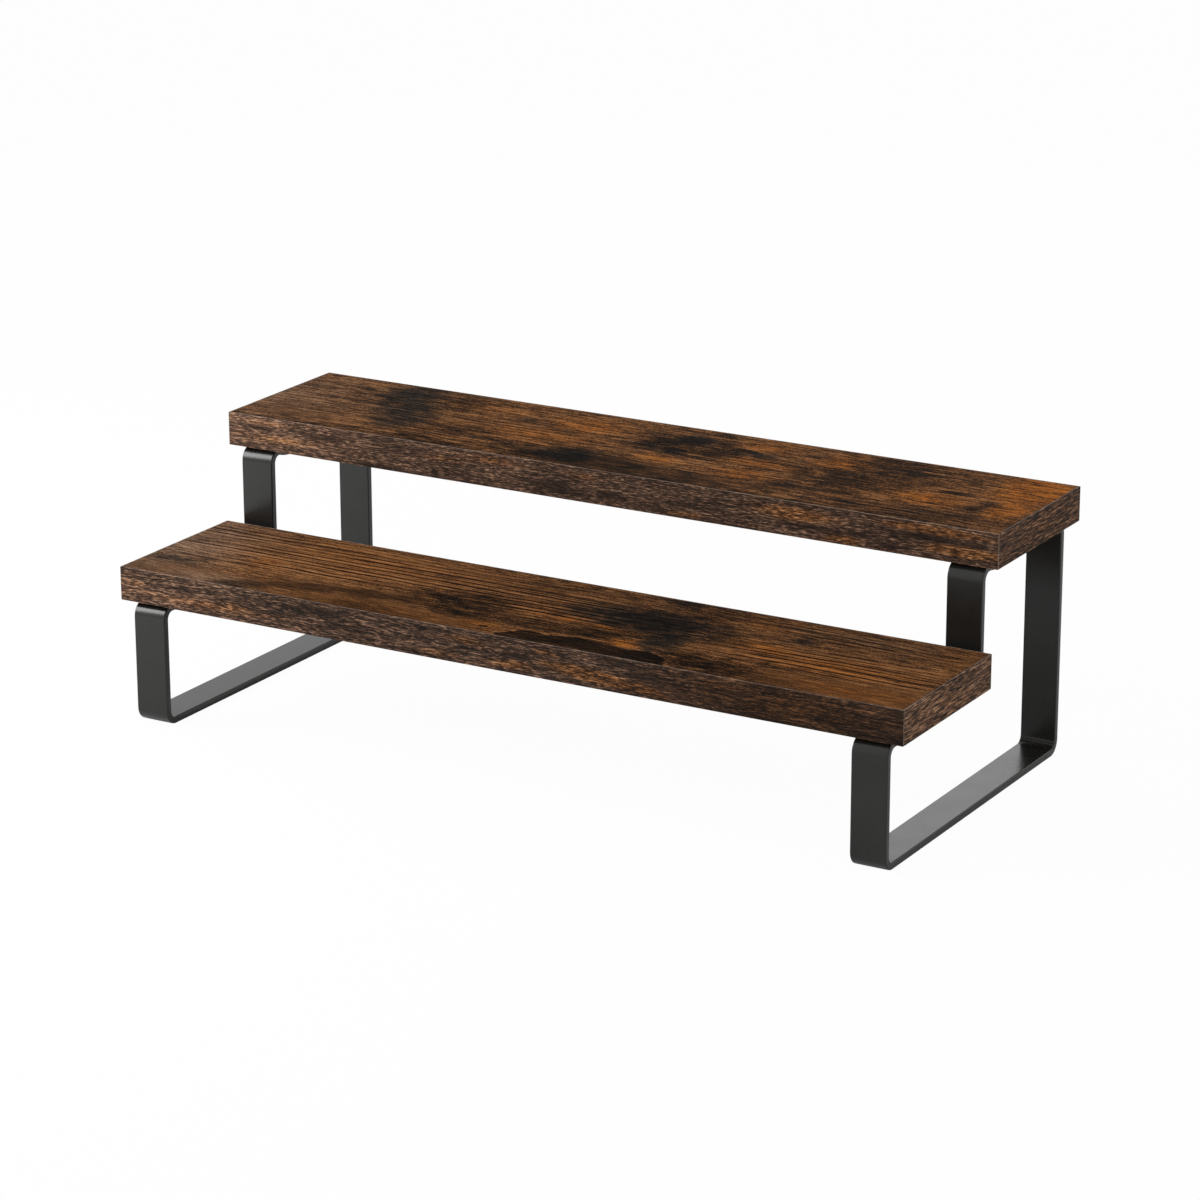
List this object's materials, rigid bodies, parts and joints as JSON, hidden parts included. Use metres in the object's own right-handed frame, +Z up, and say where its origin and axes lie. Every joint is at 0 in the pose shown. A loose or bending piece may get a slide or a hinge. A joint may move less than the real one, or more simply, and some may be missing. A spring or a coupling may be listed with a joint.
{
  "type": "two-tier countertop display rack",
  "caption": "Stepped countertop display rack: two printed wood-grain boards, one behind and above the other, on bent flat-bar steel side frames.",
  "frame": {"origin": "on the floor, under the middle of the rack's bounding box", "axes": "+X along the boards, to the right seen from the front; +Y from the low front to the high back; +Z up"},
  "size_m": [0.4, 0.1736, 0.1265],
  "materials": {
    "powder_coat": "satin charcoal powder coat",
    "printed_laminate": "satin wood-grain print in rustic brown",
    "edge_band": "satin printed edge band",
    "particle_board": "raw chip core",
    "black_screw": "black oxide"
  },
  "bodies": {
    "root": {"left_frame": "powder_coat", "right_frame": "powder_coat", "lower_shelf_core": "particle_board", "lower_shelf_top_face": "printed_laminate", "lower_shelf_bottom_face": "printed_laminate", "lower_shelf_front_band": "edge_band", "lower_shelf_rear_band": "edge_band", "lower_shelf_left_band": "edge_band", "lower_shelf_right_band": "edge_band", "upper_shelf_core": "particle_board", "upper_shelf_top_face": "printed_laminate", "upper_shelf_bottom_face": "printed_laminate", "upper_shelf_front_band": "edge_band", "upper_shelf_rear_band": "edge_band", "upper_shelf_left_band": "edge_band", "upper_shelf_right_band": "edge_band", "lower_left_front_screw": "black_screw", "lower_left_rear_screw": "black_screw", "lower_right_front_screw": "black_screw", "lower_right_rear_screw": "black_screw", "upper_left_front_screw": "black_screw", "upper_left_rear_screw": "black_screw", "upper_right_front_screw": "black_screw", "upper_right_rear_screw": "black_screw"}
  },
  "joints": []
}
